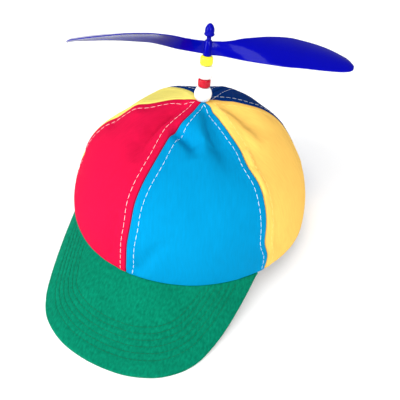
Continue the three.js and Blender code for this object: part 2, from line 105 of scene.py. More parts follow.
# Valleys in the cloth: from azimuth and rise, to azimuth and rise, width on the left and on the right,
# depth at the start and at the end. A ridge is below 0.
FOLDS = [
    (-32, 0.94, -25.5, 0.865, 0.07, 0.035, 0.03, 0.064),
    (-25.5, 0.865, -21.5, 0.75, 0.07, 0.035, 0.064, 0.062),
    (-21.5, 0.75, -18, 0.66, 0.07, 0.04, 0.062, 0.04),
    (-18, 0.66, -12, 0.56, 0.08, 0.05, 0.04, 0),
    (42, 0.935, 38.5, 0.86, 0.045, 0.09, 0.044, 0.056),
    (38.5, 0.86, 40, 0.795, 0.045, 0.1, 0.056, 0.06),
    (40, 0.795, 43, 0.725, 0.05, 0.1, 0.06, 0.054),
    (43, 0.725, 47, 0.59, 0.07, 0.1, 0.054, 0),
    (1.5, 0.795, 11, 0.781, 0.05, 0.055, 0.048, 0.068),
    (11, 0.781, 20.5, 0.74, 0.05, 0.06, 0.068, 0.064),
    (20.5, 0.74, 25, 0.66, 0.05, 0.06, 0.064, 0),
    (6, 0.07, 13, 0.22, 0.06, 0.06, 0.024, 0.024),
    (13, 0.22, 20, 0.25, 0.06, 0.06, 0.024, 0),
    (101, 0.9, 95, 0.85, 0.08, 0.1, 0.03, 0.042),
    (95, 0.85, 89, 0.78, 0.08, 0.11, 0.042, 0.044),
    (89, 0.78, 86, 0.66, 0.08, 0.11, 0.044, 0),
    (79, 0.88, 76, 0.68, 0.06, 0.05, -0.012, -0.012),
    (65, 0.67, 63, 0.6, 0.02, 0.02, -0.01, -0.01),
    (62.6, 0.55, 62, 0.45, 0.02, 0.02, -0.009, -0.009),
    (63, 0.3, 63.4, 0.16, 0.022, 0.022, -0.008, -0.008),
    (66, 0.16, 72, 0.08, 0.05, 0.05, 0.016, 0.016),
    (-68, 0.61, -54, 0.6, 0.07, 0.07, 0.016, 0.016),
    (-70, 0.74, -50, 0.73, 0.075, 0.075, -0.02, -0.02),
    (-80, 0.62, -96, 0.56, 0.07, 0.07, 0.012, 0),
    (150, 0.6, 156, 0.35, 0.1, 0.1, 0.018, 0),
    (-146, 0.7, -152, 0.4, 0.1, 0.1, 0.018, 0),
    (-7, 0.3, -7, 0.1, 0.05, 0.05, 0.014, 0.014),
    (-60, 0.31, -36, 0.3, 0.05, 0.05, 0.014, 0),
    (-60, 0.17, -36, 0.15, 0.08, 0.08, -0.014, 0),
    (26, 0.55, 30, 0.35, 0.09, 0.09, 0.006, 0.006),
]

# Outline of the brim from left to right: share of its half width, and share of its reach.
BRIM_OUTLINE = [
    (-0.985, 0.04),
    (-0.955, 0.15),
    (-0.886, 0.44),
    (-0.79, 0.735),
    (-0.7, 0.9),
    (-0.555, 0.98),
    (-0.3, 0.99),
    (0, 0.985),
    (0.3, 1),
    (0.54, 1.01),
    (0.706, 0.99),
    (0.817, 0.93),
    (0.886, 0.8),
    (0.942, 0.58),
    (0.98, 0.26),
    (0.993, 0.04),
]

# Sections of a blade from hub to tip: reach, chord, twist in degrees, and its middle's place ahead and up.
BLADE_SECTIONS = [
    (0.024, 0.32, 84, 0, 0),
    (0.066, 0.32, 78, 0.022, 0.009),
    (0.11, 0.337, 71, 0.033, 0.017),
    (0.164, 0.404, 59, 0.052, 0.031),
    (0.218, 0.504, 50, 0.07, 0.052),
    (0.306, 0.663, 38, 0.076, 0.081),
    (0.415, 0.856, 29, 0.1, 0.109),
    (0.546, 1, 24, 0.16, 0.111),
    (0.655, 0.989, 21, 0.185, 0.1),
    (0.764, 0.93, 19, 0.18, 0.08),
    (0.852, 0.8, 18, 0.15, 0.057),
    (0.917, 0.65, 17, 0.109, 0.037),
    (0.961, 0.5, 16, 0.085, 0.025),
    (0.989, 0.3, 15, 0.07, 0.008),
    (1, 0.12, 15, 0.067, 0),
]

# Outline of the knob above the neck: shares of its half diameter and of its height.
KNOB_OUTLINE = [
    (0.72, 0.05),
    (0.9, 0.1),
    (1, 0.16),
    (1, 0.22),
    (0.94, 0.26),
    (0.9, 0.3),
    (0.93, 0.45),
    (0.84, 0.65),
    (0.6, 0.83),
    (0.3, 0.95),
]

# The studio's lights: name, place in metres, and width. They aim at one point.
SOFTBOXES = [
    ("key", (-1.6, -1.6, 1.1), 1.2),
    ("fill", (1.7, -1.4, 1.4), 1.4),
    ("top", (-0.2, -1, 2.4), 1.6),
]
LIGHT_AIM = (0, 0.02, 0.06)

# The photograph's camera: its place, lens and film in millimetres, and in degrees how far it is turned
# from the front, tilted up from straight down, and rolled.
CAMERA_PLACE = (104.7, -182.1, 253.6)
CAMERA_LENS = 37.39
CAMERA_FILM = 36
CAMERA_TURN = 25.52
CAMERA_TILT = 43.39
CAMERA_ROLL = 1.21


# Settings

def length(name, description, millimetres):
    return bpy.props.FloatProperty(
        name=name, description=description, default=millimetres * MM, unit="LENGTH", precision=4)


def share(name, description, default):
    return bpy.props.FloatProperty(name=name, description=description, default=default, precision=3)


def turn(name, description, degrees):
    return bpy.props.FloatProperty(
        name=name, description=description, default=math.radians(degrees), unit="ROTATION")


def colour(name, description, default):
    return bpy.props.FloatVectorProperty(
        name=name, description=description, default=default, size=3, min=0, max=1, subtype="COLOR")


class BeanieCrownSettings(bpy.types.PropertyGroup):
    width: length("Width", "Outside width across the ears at the rim", 172.2)
    length: length("Length", "Outside length from front to back at the rim", 191.8)
    height: length("Height", "From the rim to the top", 81)
    shoulder: share("Shoulder", "Below 1 the sides stay wide for longer as they rise", 0.82)
    roundness: share("Roundness", "Above 1 the sides rise a little later", 1.07)
    swell: share("Swell", "Share by which the sides swell past the rim", 0.03)
    top_right: length("Top right", "How far the top lies to the right", -1.8)
    top_back: length("Top back", "How far the top lies to the back", -1)
    cloth: length("Cloth", "Thickness of the cloth with its seam tape", 1.6)
    seam_roll: length("Seam roll", "Width of the rolled edge beside a seam", 1.5)
    seam_dip: length("Seam dip", "Depth of the groove along a seam", 1)
    band_rise: length("Band rise", "How far the doubled cloth beside a seam stands up", 0.3)
    wrinkle: length("Wrinkle", "Height of the soft unevenness of the cloth", 0.45)
    band_height: length("Sweatband height", "Height of the sweatband inside the rim", 26)


class BeanieStitchSettings(bpy.types.PropertyGroup):
    inset: length("Inset", "Width of the doubled cloth beside a seam", 5.3)
    pitch: length("Pitch", "From one stitch to the next", 4.4)
    length: length("Length", "Visible length of a stitch", 3.5)
    thread: length("Thread", "Thickness of the thread", 0.23)
    brim_rows: bpy.props.IntProperty(
        name="Brim rows", description="Rows of stitches on the brim", default=6, min=1, max=9)
    brim_pitch: length("Brim pitch", "From one stitch on the brim to the next", 2.9)
    brim_length: length("Brim length", "Visible length of a stitch on the brim", 2.6)
    brim_thread: length("Brim thread", "Thickness of the thread on the brim", 0.5)
    brim_inset: length("Brim inset", "From the brim's edge to its outer row of stitches", 7.4)
    brim_spacing: length("Brim spacing", "From one row of stitches on the brim to the next", 2.9)
    thread_colour: colour("Thread", "Colour of the thread on the crown", (0.93, 0.95, 0.98))
    yellow_thread_colour: colour("Yellow thread", "Colour of the thread on yellow cloth", (0.95, 0.72, 0.24))
    brim_thread_colour: colour("Brim thread", "Colour of the thread on the brim", (0.0015, 0.13, 0.065))


class BeanieBrimSettings(bpy.types.PropertyGroup):
    reach: length("Reach", "Level run from the rim to the front edge", 45)
    slope: share("Slope", "Drop for each unit of run", 0.8)
    thick: length("Thickness", "Thickness of the stiff core with its two cloths", 3)
    turn: turn("Turn", "Rim that the brim covers to each side", 57)


class BeaniePoleSettings(bpy.types.PropertyGroup):
    rod: length("Rod", "Diameter of the rod", 3)
    bore: length("Bore", "Diameter of the holes that turn on the rod", 3.6)
    gap: length("Gap", "Gap between pieces that touch", 0.3)
    ball: length("Ball", "Diameter of the lower white bead", 12)
    ball_height: length("Ball height", "Height of the lower white bead", 9.2)
    upper_ball: length("Upper ball", "Diameter of the upper white bead", 11.6)
    upper_ball_height: length("Upper ball height", "Height of the upper white bead", 8.2)
    ring: length("Ring", "Diameter of the ring beads", 8.6)
    ring_height: length("Ring height", "Height of the ring beads", 5.9)
    ring_round: length("Ring round", "Rounding of the ring beads' edges", 1.6)
    neck: length("Neck", "Bare rod between the hub and the knob", 2.2)
    knob: length("Knob", "Diameter of the knob", 6.6)
    knob_height: length("Knob height", "Height of the knob", 8.1)
    foot: length("Foot", "Diameter of the foot under the crown", 12)
    foot_thick: length("Foot thickness", "Thickness of the foot under the crown", 1.5)


class BeaniePropellerSettings(bpy.types.PropertyGroup):
    radius: length("Radius", "From the middle of the hub to a blade's tip", 91.6)
    chord: length("Chord", "Width of a blade where it is widest", 27)
    thick: length("Thickness", "Thickness along the middle of a blade", 1.3)
    edge: share("Edge", "Thickness of a blade's edges, as a share of its middle's", 0.45)
    camber: share("Camber", "Rise of a blade's arch, as a share of its chord", 0.07)
    droop: length("Droop", "How far the bent blade's tip hangs below the other", 8.4)
    turn: turn("Turn", "Where the propeller stopped", 17.9)
    hub: length("Hub", "Diameter of the hub", 5.2)
    hub_height: length("Hub height", "Height of the hub", 9.3)
    hub_shoulder: length("Hub shoulder", "Height of the cone on top of the hub", 0.8)


class BeanieColourSettings(bpy.types.PropertyGroup):
    cyan: colour("Cyan", "Cloth of the front right panel", (0.0004, 0.235, 0.48))
    red: colour("Red", "Cloth of the front left panel", (0.56, 0.005, 0.045))
    orange_yellow: colour("Orange yellow", "Cloth of the right side panel", (0.96, 0.54, 0.115))
    yellow: colour("Yellow", "Cloth of the left side panel", (0.82, 0.71, 0.165))
    navy: colour("Navy", "Cloth of the two back panels", (0.0006, 0.027, 0.16))
    green: colour("Green", "Cloth of the brim", (0.001, 0.163, 0.09))
    bead_white: colour("Bead white", "White beads", (0.9, 0.89, 0.89))
    bead_red: colour("Bead red", "Red ring bead", (0.45, 0.002, 0.016))
    bead_yellow: colour("Bead yellow", "Yellow ring bead", (0.8, 0.74, 0.03))
    blue: colour("Blue", "Propeller and knob", (0.0004, 0.0008, 0.26))
    lining: colour("Lining", "Sweatband and seam tape", (0.75, 0.73, 0.69))


class BeanieStageSettings(bpy.types.PropertyGroup):
    floor_colour: colour("Floor", "Colour of the floor", (0.95, 0.95, 0.95))
    sky: share("Sky", "Strength of the even light from all round", 0.35)
    key: bpy.props.FloatProperty(
        name="Key", description="Strength of the main light", default=62, unit="POWER")
    fill: bpy.props.FloatProperty(
        name="Fill", description="Strength of the light from the other side", default=50, unit="POWER")
    top: bpy.props.FloatProperty(
        name="Top", description="Strength of the light from above", default=38, unit="POWER")


# Shared shapes

def lerp(start, end, amount):
    return start + (end - start) * amount


def bell(value, centre, width):
    return math.exp(-((value - centre) / width) ** 2)


def smoothstep(value, low, high):
    amount = min(max((value - low) / (high - low), 0), 1)
    return amount * amount * (3 - 2 * amount)


def rounding(distance, radius):
    """How far a rounded edge falls below its face near the edge, as a share of its radius."""
    inward = 1 - min(max(distance / radius, 0), 1)
    return 1 - math.sqrt(1 - inward * inward)


def hat_matrix(top_height, top_right, top_back):
    """From the level cap's frame, with its rim at height 0, to the frame in which it rests."""
    axis = Vector(SPIN_JOINT["axis"])
    lean = Matrix.Rotation(-math.atan2(axis.y, axis.z), 4, "X")
    spin_place = Vector((top_right, top_back, top_height))
    return Matrix.Translation(Vector(SPIN_JOINT["pos_m"]) - lean @ spin_place) @ lean


class CrownShape:
    """The crown's cloth in the level cap's frame."""

    band_slope = 1.35
    groove_width = 0.8 * MM
    groove_share = 0.5
    wrinkle_scales = (38, 90)
    pucker_share = 0.35
    pucker_width = 4 * MM
    pucker_scales = (0.02, 160)
    roll_at_top = 0.35
    rim_round = 0.8 * MM
    rim_sink = 0.5 * MM

    def __init__(self, crown, stitch):
        self.half_width = crown.width / 2
        self.half_length = crown.length / 2
        self.height = crown.height
        self.shoulder = crown.shoulder
        self.roundness = crown.roundness
        self.swell = crown.swell
        self.top_right = crown.top_right
        self.top_back = crown.top_back
        self.cloth = crown.cloth
        self.seam_roll = crown.seam_roll
        self.seam_dip = crown.seam_dip
        self.band_rise = crown.band_rise
        self.wrinkle = crown.wrinkle
        self.inset = stitch.inset
        self.meridian = QUARTER_TURN * math.hypot(self.half_width, self.height) / math.sqrt(2)
        self.folds = [self.flat_fold(*fold) for fold in FOLDS]

    def ring(self, rise):
        climb = rise * QUARTER_TURN
        return math.cos(climb) ** self.shoulder * (1 + self.swell * math.sin(2 * climb))

    def flat(self, angle, rise):
        return Vector((math.radians(angle) * self.ring(rise) * self.half_width, rise * self.meridian))

    def flat_fold(self, azimuth, rise, to_azimuth, to_rise, left, right, depth, to_depth):
        middle = (azimuth + to_azimuth) / 2
        start = self.flat(azimuth - middle, rise)
        run = self.flat(to_azimuth - middle, to_rise) - start
        return middle, start, run, left * self.height, right * self.height, depth, to_depth

    @functools.cache
    def form(self, azimuth, rise):
        place = (azimuth + 180) / (360 / len(FORM))
        first = math.floor(place)
        row = FORM[first % len(FORM)]
        following = FORM[(first + 1) % len(FORM)]
        blend = (1 - math.cos(math.pi * (place - first))) / 2
        stand = 0
        for here, there, height in zip(row, following, FORM_RISES):
            stand += lerp(here, there, blend) * bell(rise, height, FORM_SPREAD)
        valley = 0
        ridge = 0
        for middle, start, run, left, right, depth, to_depth in self.folds:
            offset = self.flat(azimuth - middle, rise) - start
            along = min(max(offset.dot(run) / run.length_squared, 0), 1)
            beside = offset - run * along
            side = (1 + math.cos(math.atan2(beside.y, beside.x))) / 2
            sink = lerp(depth, to_depth, along) * bell(beside.length, 0, lerp(left, right, side))
            valley = max(valley, sink)
            ridge = min(ridge, sink)
        return stand - valley - ridge

    def point(self, azimuth, rise, lift):
        """A point of the crown, lifted off the outer face of the cloth."""
        climb = rise * QUARTER_TURN
        angle = math.radians(azimuth)
        fade = 1 - smoothstep(rise, *FLAT_TOP)
        out = self.height * fade * self.form(azimuth, rise) + lift
        height = math.sin(climb) ** self.roundness
        level = out * math.cos(climb)
        ring = self.ring(rise)
        return Vector((
            (self.half_width * ring + level) * math.sin(angle) + self.top_right * height,
            -(self.half_length * ring + level) * math.cos(angle) + self.top_back * height,
            self.height * height + out * math.sin(climb),
        ))

    def seam(self, index, rise):
        azimuth, sway = SEAMS[index]
        return azimuth + through(sway, rise)

    def relief(self, azimuth, rise, seam_distance):
        """Height of the cloth's fine detail: the rolled seam, the doubled band beside it, soft wrinkles."""
        place = self.point(azimuth, rise, 0)
        fade = 1 - smoothstep(rise, *FLAT_TOP)
        roll = -self.seam_dip * rounding(seam_distance, self.seam_roll)
        band = self.band_rise * (1 - smoothstep(seam_distance, self.inset, self.inset * self.band_slope))
        groove = -self.groove_share * self.band_rise * bell(seam_distance, self.inset, self.groove_width)
        broad, fine = self.wrinkle_scales
        soft = noise.noise(place * broad) + 0.5 * noise.noise(place * fine)
        across, along = self.pucker_scales
        tight = noise.noise(Vector((azimuth * across, rise * self.meridian * along, 3)))
        pucker = self.pucker_share * tight * bell(seam_distance, self.inset, self.pucker_width)
        detail = band + groove + self.wrinkle * (soft + pucker)
        return roll * max(fade, self.roll_at_top) + fade * detail - self.rim_fall(rise)

    def rim_fall(self, rise):
        """How far the rounded rim falls below either face of the cloth."""
        return self.rim_sink * rounding(rise * self.meridian, self.rim_round)

    def panel_width(self, index, rise):
        arc = math.radians(self.seam(index + 1, rise) - self.seam(index, rise))
        return arc * self.half_width * self.ring(rise)

    def normal(self, azimuth, rise):
        across = self.point(azimuth + 0.5, rise, 0) - self.point(azimuth - 0.5, rise, 0)
        up = self.point(azimuth, rise + 0.004, 0) - self.point(azimuth, rise - 0.004, 0)
        return across.cross(up).normalized()


class BrimShape:
    """The brim's top in the level cap's frame, which runs straight down and forward from the rim."""

    def __init__(self, brim, crown, gap):
        self.crown = crown
        self.gap = gap
        self.slope = brim.slope
        self.turn = brim.turn
        self.down = Vector((0, brim.slope, -1)).normalized() * brim.thick
        half = crown.half_width * math.sin(brim.turn)
        corners = [Vector((across * half, self.rim_front(across * half) - reach * brim.reach))
                   for across, reach in BRIM_OUTLINE]
        self.outline = evenly_spaced(smooth_curve(corners, 24), 400)
        self.edges = kdtree.KDTree(len(self.outline))
        for index, corner in enumerate(self.outline):
            self.edges.insert(corner.to_3d(), index)
        self.edges.balance()

    def rim_front(self, x):
        return -self.crown.half_length * math.sqrt(1 - (x / self.crown.half_width) ** 2)

    def top(self, x, y):
        return Vector((x, y, -self.gap - self.slope * (self.rim_front(x) - y)))

    def edge_distance(self, x, y):
        return self.edges.find((x, y, 0))[2]

    def edge_point(self, amount):
        place = amount * (len(self.outline) - 1)
        first = min(int(place), len(self.outline) - 2)
        return self.outline[first].lerp(self.outline[first + 1], place - first)


def through(stations, amount):
    """A smooth curve through numbers or points at even steps, with amount from 0 at the first to 1."""
    last = len(stations) - 1
    index = min(int(amount * last), last - 1)
    t = amount * last - index
    before, start = stations[max(index - 1, 0)], stations[index]
    end, after = stations[index + 1], stations[min(index + 2, last)]
    leave, arrive = (end - before) / 2, (after - start) / 2
    cubic = 2 * start - 2 * end + leave + arrive
    square = 3 * end - 3 * start - 2 * leave - arrive
    return cubic * t ** 3 + square * t ** 2 + leave * t + start


def smooth_curve(corners, steps):
    """A smooth curve through the corners, with the given steps from one corner to the next."""
    count = (len(corners) - 1) * steps
    return [through(corners, step / count) for step in range(count + 1)]


def evenly_spaced(curve, count):
    """Points at even distances along a line of points."""
    lengths = [0]
    for start, end in zip(curve, curve[1:]):
        lengths.append(lengths[-1] + (end - start).length)
    spaced = []
    index = 0
    for step in range(count + 1):
        target = lengths[-1] * step / count
        while index < len(curve) - 2 and lengths[index + 1] < target:
            index += 1
        amount = (target - lengths[index]) / (lengths[index + 1] - lengths[index])
        spaced.append(curve[index].lerp(curve[index + 1], amount))
    return spaced


# Mesh helpers

def closed_sheet(columns, rows, place):
    """A sheet with a face, a back and edges. place gives a vertex its point, its chart and its distance to a
    seam, which sets the painted seam shade.
    """
    mesh = bmesh.new()
    bmesh.ops.create_grid(mesh, x_segments=columns, y_segments=rows, size=0.5)
    raised = bmesh.ops.extrude_face_region(mesh, geom=mesh.faces[:])["geom"]
    raised_verts = [part for part in raised if isinstance(part, bmesh.types.BMVert)]
    bmesh.ops.translate(mesh, vec=(0, 0, 1), verts=raised_verts)
    chart = mesh.loops.layers.uv.new("cloth")
    seam = mesh.verts.layers.float.new("seam")
    charted = {}
    for vert in mesh.verts:
        spot, charted[vert], vert[seam] = place(vert.co.x + 0.5, vert.co.y + 0.5, vert.co.z > 0.5)
        vert.co = spot
    for polygon in mesh.faces:
        for loop in polygon.loops:
            loop[chart].uv = charted[loop.vert]
    return mesh


def turned(mesh, outline, steps):
    """Spins an outline of (radius, height) pairs, closed or from axis to axis, about the Z axis."""
    verts = [mesh.verts.new((radius, 0, height)) for radius, height in outline]
    edges = [mesh.edges.new(pair) for pair in zip(verts, verts[1:])]
    if outline[0][0] > 0:
        edges.append(mesh.edges.new((verts[-1], verts[0])))
    bmesh.ops.spin(
        mesh, geom=verts + edges, cent=(0, 0, 0), axis=(0, 0, 1), angle=2 * math.pi, steps=steps,
        use_merge=True)
    bmesh.ops.remove_doubles(mesh, verts=mesh.verts[:], dist=1e-7)
    bmesh.ops.recalc_face_normals(mesh, faces=mesh.faces[:])


def add_stitches(mesh, path, pitch, long, thread):
    """Lays stitches along a path of (point, normal) pairs."""
    travelled = 0
    target = pitch / 2
    for (start, normal), (end, _) in zip(path, path[1:]):
        step = end - start
        while travelled + step.length >= target:
            spot = start + step * ((target - travelled) / step.length)
            along = step.normalized()
            side = normal.cross(along).normalized()
            up = along.cross(side)
            axes = Matrix((side, up, along)).transposed().to_4x4()
            size = Matrix.Diagonal((thread / 2, thread / 2, long / 2, 1))
            place = Matrix.Translation(spot + up * thread * 0.12) @ axes @ size
            bmesh.ops.create_uvsphere(mesh, u_segments=6, v_segments=6, radius=1, matrix=place)
            target += pitch
        travelled += step.length


def finish_piece(name, mesh, material, place, body, nodes=(), on_floor=False):
    """Turns a mesh into a piece at its place, riding on its body and standing for its CAD nodes."""
    bmesh.ops.transform(mesh, matrix=place, verts=mesh.verts[:])
    if on_floor:
        for vert in mesh.verts:
            vert.co.z = max(vert.co.z, 0)
    for polygon in mesh.faces:
        polygon.smooth = True
    data = bpy.data.meshes.new(name)
    mesh.to_mesh(data)
    mesh.free()
    data.set_sharp_from_angle(angle=math.radians(50))
    data.materials.append(material)
    piece = bpy.data.objects.new(name, data)
    bpy.context.scene.collection.objects.link(piece)
    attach(piece, body)
    if nodes:
        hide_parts(*nodes)
    return piece


# Materials

class Value:
    """A number in a material. Python's operators on it add Math nodes."""

    def __init__(self, finish, socket):
        self.finish = finish
        self.socket = socket

    def math(self, operation, *values):
        return self.finish.node("ShaderNodeMath", {"operation": operation}, *values).value()

    def __add__(self, other):
        return self.math("ADD", self, other)

    __radd__ = __add__

    def __sub__(self, other):
        return self.math("SUBTRACT", self, other)

    def __rsub__(self, other):
        return self.math("SUBTRACT", other, self)

    def __mul__(self, other):
        return self.math("MULTIPLY", self, other)

    __rmul__ = __mul__

    def sine(self):
        return self.math("SINE", self)

    def near(self, centre, width):
        """1 at the centre, falling to 0 at the given distance from it."""
        away = self.math("ABSOLUTE", self - centre)
        settings = {"interpolation_type": "SMOOTHSTEP"}
        return self.finish.node("ShaderNodeMapRange", settings, away, 0, width, 1, 0).value()


class Made:
    """A node that has been added to a material."""

    def __init__(self, finish, node):
        self.finish = finish
        self.node = node

    def value(self, name=0):
        return Value(self.finish, self.node.outputs[name])


class Finish:
    """A material and its shader."""

    def __init__(self, name, **constants):
        self.material = bpy.data.materials.new(name)
        self.material.use_nodes = True
        self.tree = self.material.node_tree
        self.shader = self.tree.nodes["Principled BSDF"]
        for socket, constant in constants.items():
            self.shader.inputs[socket.replace("_", " ")].default_value = constant

    def node(self, kind, settings, *inputs, **named):
        """Adds a node with its settings, and gives its sockets their values or links."""
        node = self.tree.nodes.new(kind)
        for key, setting in settings.items():
            setattr(node, key, setting)
        for socket, given in list(enumerate(inputs)) + list(named.items()):
            target = node.inputs[socket if isinstance(socket, int) else socket.replace("_", " ")]
            if isinstance(given, Value):
                self.tree.links.new(given.socket, target)
            else:
                target.default_value = given
        return Made(self, node)

    def feed(self, socket, given):
        self.tree.links.new(given.socket, self.shader.inputs[socket])

    def coordinates(self, kind):
        return self.node("ShaderNodeTexCoord", {}).value(kind)

    def split(self, vector):
        parts = self.node("ShaderNodeSeparateXYZ", {}, vector)
        return parts.value("X"), parts.value("Y")

    def clouds(self, vector, scale, detail=2.0, stretch=(1, 1, 1)):
        placed = self.node("ShaderNodeMapping", {}, Vector=vector, Scale=stretch).value()
        return self.node("ShaderNodeTexNoise", {}, Vector=placed, Scale=scale, Detail=detail).value("Fac")

    def mix(self, amount, first, second):
        made = self.node("ShaderNodeMix", {"data_type": "RGBA", "blend_type": "MIX"})
        for socket, given in ((0, amount), (6, first), (7, second)):
            if isinstance(given, Value):
                self.tree.links.new(given.socket, made.node.inputs[socket])
            else:
                made.node.inputs[socket].default_value = given
        return Value(self, made.node.outputs[2])

    def bump(self, height, distance):
        bumped = self.node("ShaderNodeBump", {}, Height=height, Distance=distance, Strength=1.0)
        self.feed("Normal", bumped.value())


def shade(base, amount):
    """A colour made darker below 1, or lighter above it."""
    return (*(min(channel * amount, 1) for channel in base), 1)


def twill(name, base, grain=0.16, slub=900, stretch=0.12):
    """Cotton twill: diagonal ribs, fine slubs, slightly uneven dye, and a painted shade line in each seam's
    groove.
    """
    finish = Finish(name, Specular_IOR_Level=0.02)
    pitch = 0.75 * MM
    chart = finish.coordinates("UV")
    across, along = finish.split(chart)
    rib = ((across * 0.8 + along) * (2 * math.pi / pitch)).sine()
    weft = ((across - along * 0.35) * (2 * math.pi / (pitch * 0.6))).sine()
    slubs = finish.clouds(chart, slub, stretch=(1, stretch, 1))
    dye = finish.clouds(finish.coordinates("Object"), 45, detail=4.0)
    # Painted shade: the cloth's colour darkens within 0.9 mm of a seam, where shade falls in the seam's
    # groove.
    seam = finish.node("ShaderNodeAttribute", {"attribute_name": "seam"}).value("Fac")
    groove = seam.near(0, 0.9 * MM)
    tone = dye * 0.25 + slubs * 0.75 + rib * 0.07
    cloth = finish.mix(tone, shade(base, 1 - grain), shade(base, 1 + grain))
    # The base colour, with the painted seam shade mixed in.
    finish.feed("Base Color", finish.mix(groove * 0.5, cloth, shade(base, 0.4)))
    finish.feed("Roughness", 0.82 + slubs * 0.14)
    finish.bump(rib * 0.35 + weft * 0.2 + slubs * 0.5 + dye * 0.4, 0.16 * MM)
    return finish.material


def thread(name, base):
    """Twisted sewing thread."""
    finish = Finish(name, Specular_IOR_Level=0.1)
    place = finish.coordinates("Object")
    fibres = finish.clouds(place, 2600, stretch=(1, 0.4, 1))
    worn = finish.clouds(place, 160)
    tone = fibres * 0.6 + worn * 0.4
    finish.feed("Base Color", finish.mix(tone, shade(base, 0.72), shade(base, 1.1)))
    finish.feed("Roughness", 0.6 + fibres * 0.25)
    finish.bump(fibres, 0.1 * MM)
    return finish.material


def glossy_plastic(name, base, rough, coat, waves):
    """Moulded plastic with a slightly uneven gloss."""
    finish = Finish(name, Coat_Weight=coat, Coat_Roughness=0.06, Coat_IOR=1.4, Specular_IOR_Level=0.06)
    place = finish.coordinates("Object")
    flow = finish.clouds(place, 70, detail=3.0)
    specks = finish.clouds(place, 1500)
    tone = flow * 0.8 + specks * 0.2
    finish.feed("Base Color", finish.mix(tone, shade(base, 0.85), shade(base, 1.15)))
    finish.feed("Roughness", rough + flow * 0.12)
    finish.bump(flow + specks * 0.04, waves)
    return finish.material


def plain_floor(base):
    finish = Finish("pale_floor", Specular_IOR_Level=0.1)
    grain = finish.clouds(finish.coordinates("Object"), 30)
    finish.feed("Base Color", finish.mix(grain, shade(base, 0.99), shade(base, 1.01)))
    finish.feed("Roughness", 0.9 + grain * 0.05)
    return finish.material


# Steps

class BeanieStep:
    """What the steps share: the shapes and places that follow from the settings."""

    bl_options = {"REGISTER", "UNDO"}

    def read(self, context):
        scene = context.scene
        self.crown = scene.beanie_crown
        self.stitch = scene.beanie_stitch
        self.pole = scene.beanie_pole
        self.propeller = scene.beanie_propeller
        self.colours = scene.beanie_colours
        self.shape = CrownShape(self.crown, self.stitch)
        pole = self.pole
        self.levels = {}
        top = self.crown.height
        for name, height in (
                ("base_bead", pole.ball_height), ("red_ring_bead", pole.ring_height),
                ("white_bead", pole.upper_ball_height), ("yellow_ring_bead", pole.ring_height),
                ("hub", self.propeller.hub_height)):
            self.levels[name] = top + pole.gap
            top += pole.gap + height
        self.levels["neck"] = top
        hub_middle = self.levels["hub"] + self.propeller.hub_height / 2
        self.hat = hat_matrix(hub_middle, self.crown.top_right, self.crown.top_back)

    def on_pole(self, height, turn=0):
        place = Matrix.Translation((self.crown.top_right, self.crown.top_back, height))
        return self.hat @ place @ Matrix.Rotation(turn, 4, "Z")


class BEANIE_OT_panels(BeanieStep, bpy.types.Operator):
    """Makes the six cloth panels of the crown"""

    bl_idname = "beanie.panels"
    bl_label = "Cloth Panels"

    columns = 96
    rows = 128
    hem_rows = 0.03
    hem_rise = 0.008
    edge_columns = 0.2
    edge_width = 7 * MM
    edge_share = 0.3

    def execute(self, context):
        self.read(context)
        for index, (place, dye, *_) in enumerate(PANELS):
            cloth = twill(f"cloth_{dye}_{place}", getattr(self.colours, dye))
            mesh = closed_sheet(self.columns, self.rows, lambda u, v, face: self.place(index, u, v, face))
            finish_piece(
                f"cloth_{place}", mesh, cloth, self.hat, "hat", nodes=[f"panel_{place}"],
                on_floor=True)
        return {"FINISHED"}

    def place(self, index, u, v, is_face):
        """Rows lie closer at the rim, and columns closer beside the seams, where the cloth bends most."""
        shape = self.shape
        bore = self.pole.bore / 2 / shape.half_width
        top_rise = math.acos(bore ** (1 / shape.shoulder)) / QUARTER_TURN
        if v < self.hem_rows:
            rise = top_rise * self.hem_rise * v / self.hem_rows
        else:
            rise = top_rise * lerp(self.hem_rise, 1, (v - self.hem_rows) / (1 - self.hem_rows))
        width = shape.panel_width(index, rise)
        near = min(u, 1 - u)
        band = min(self.edge_width, width * self.edge_share)
        if near < self.edge_columns:
            inset = band * near / self.edge_columns
        else:
            inset = lerp(band, width / 2, (near - self.edge_columns) / (0.5 - self.edge_columns))
        across = inset if u < 0.5 else width - inset
        azimuth = lerp(shape.seam(index, rise), shape.seam(index + 1, rise), across / width)
        lift = shape.relief(azimuth, rise, inset) if is_face else shape.rim_fall(rise) - shape.cloth
        chart = (across - width / 2, rise * shape.meridian)
        return shape.point(azimuth, rise, lift), chart, inset if is_face else FAR_FROM_SEAMS


class BEANIE_OT_topstitch(BeanieStep, bpy.types.Operator):
    """Sews the rows of white stitches beside the crown's seams"""

    bl_idname = "beanie.topstitch"
    bl_label = "Topstitching"

    first_rise = 0.012
    last_rise = 0.975
    rise_step = 0.004
    wander = 0.25
    wander_scale = 9

    def execute(self, context):
        self.read(context)
        for index, (place, _, colour_name, *insets) in enumerate(PANELS):
            colour_of_thread = getattr(self.stitch, f"{colour_name}_colour")
            material = thread(f"{colour_name}_{place}", colour_of_thread)
            mesh = bmesh.new()
            for side, stations in zip((1, -1), insets):
                path = self.row(index, side, stations)
                add_stitches(mesh, path, self.stitch.pitch, self.stitch.length, self.stitch.thread)
            finish_piece(f"topstitch_{place}", mesh, material, self.hat, "hat")
        return {"FINISHED"}

    def row(self, index, side, stations):
        """The path of one row of stitches, as far as it lies above the floor."""
        shape = self.shape
        path = []
        rise = self.first_rise
        while rise < self.last_rise:
            width = shape.panel_width(index, rise)
            wander = self.wander * noise.noise(Vector((rise * self.wander_scale, index, side)))
            inset = (through(stations, rise) + wander) * MM
            across = inset if side > 0 else width - inset
            azimuth = lerp(shape.seam(index, rise), shape.seam(index + 1, rise), across / width)
            lift = shape.relief(azimuth, rise, min(inset, width - inset))
            spot = shape.point(azimuth, rise, lift)
            if (self.hat @ spot).z > self.stitch.thread:
                path.append((spot, shape.normal(azimuth, rise)))
            rise += self.rise_step
        return path


